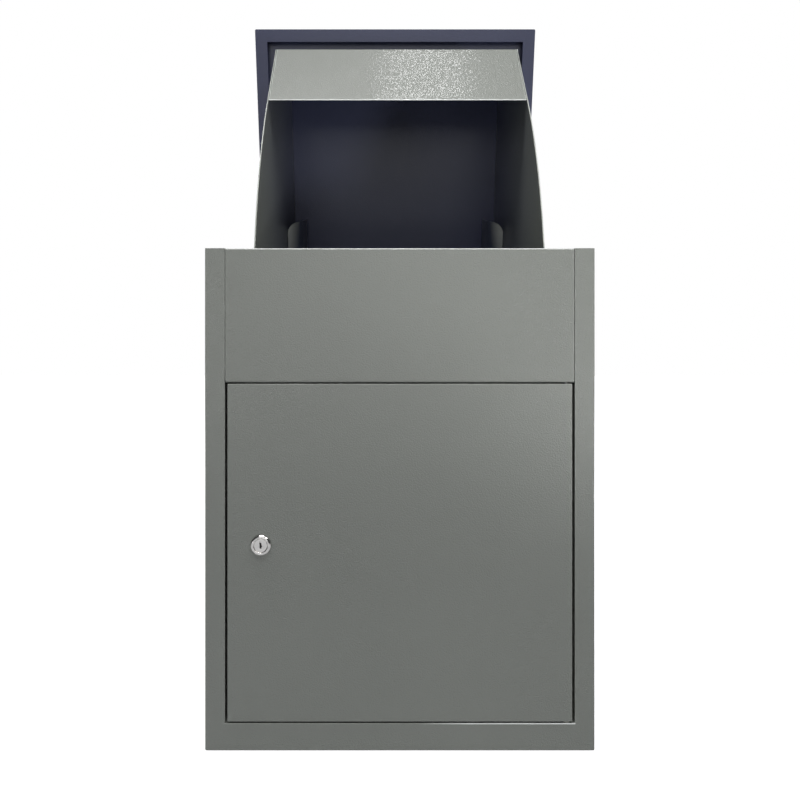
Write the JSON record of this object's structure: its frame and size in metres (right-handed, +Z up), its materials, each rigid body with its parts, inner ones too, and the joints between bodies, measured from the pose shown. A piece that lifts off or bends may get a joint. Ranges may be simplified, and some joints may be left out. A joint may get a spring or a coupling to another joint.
{
  "type": "parcel drop box",
  "caption": "Free-standing sheet-steel parcel box with a tilting hopper lid on top and a cam-locked collection door in front.",
  "frame": {"origin": "centre of the cabinet's underside, on the plane it stands on", "axes": "+Z up; the door and the hopper's mouth face -Y; +X to the right of a person facing the door"},
  "size_m": [0.452, 0.4229, 0.978],
  "materials": {
    "textured_paint": "fine-textured grey powder coat",
    "lid_paint": "fine-textured dark powder coat",
    "chrome": "polished",
    "zinc_plate": "bright zinc plate",
    "steel": "plain steel",
    "rubber": "matt black",
    "nylon": "natural nylon"
  },
  "bodies": {
    "cabinet": {"cabinet_shell": "textured_paint", "rear_panel": "textured_paint", "upper_front_panel": "textured_paint", "strike_plate": "zinc_plate", "door_lower_pin": "steel", "door_upper_pin": "steel", "door_washer": "nylon", "base_plug_front_left": "rubber", "base_plug_front_right": "rubber", "base_plug_rear_left": "rubber", "base_plug_rear_right": "rubber", "rear_plug_lower_left": "rubber", "rear_plug_lower_right": "rubber", "rear_plug_upper_left": "rubber", "rear_plug_upper_right": "rubber", "left_lid_hinge_fixed_leaf": "steel", "left_lid_hinge_pin": "steel", "right_lid_hinge_fixed_leaf": "steel", "right_lid_hinge_pin": "steel"},
    "lid_hopper": {"lid_panel": "lid_paint", "hood_panel": "textured_paint", "left_side_plate": "textured_paint", "right_side_plate": "textured_paint", "parcel_tray": "textured_paint", "left_lid_hinge_moving_leaf": "steel", "right_lid_hinge_moving_leaf": "steel"},
    "door": {"door_panel": "textured_paint", "door_stiffener": "textured_paint", "lock_body": "chrome", "lock_washer": "zinc_plate", "lock_nut": "zinc_plate"},
    "lock_plug": {"lock_plug": "chrome", "lock_cam": "zinc_plate", "cam_screw": "steel"}
  },
  "joints": [
    {"name": "lid_hinge", "type": "hinge", "parent": "cabinet", "child": "lid_hopper", "pos_m": [0, 0.19, 0.579], "axis": [1, 0, 0], "range_deg": [0, 77.5]},
    {"name": "door_hinge", "type": "hinge", "parent": "cabinet", "child": "door", "pos_m": [0.1926, -0.2055, 0.23], "axis": [0, 0, 1], "range_deg": [0, 110]},
    {"name": "lock_turn", "type": "hinge", "parent": "door", "child": "lock_plug", "pos_m": [-0.1603, -0.21, 0.2374], "axis": [0, 1, 0], "range_deg": [0, 90]}
  ]
}
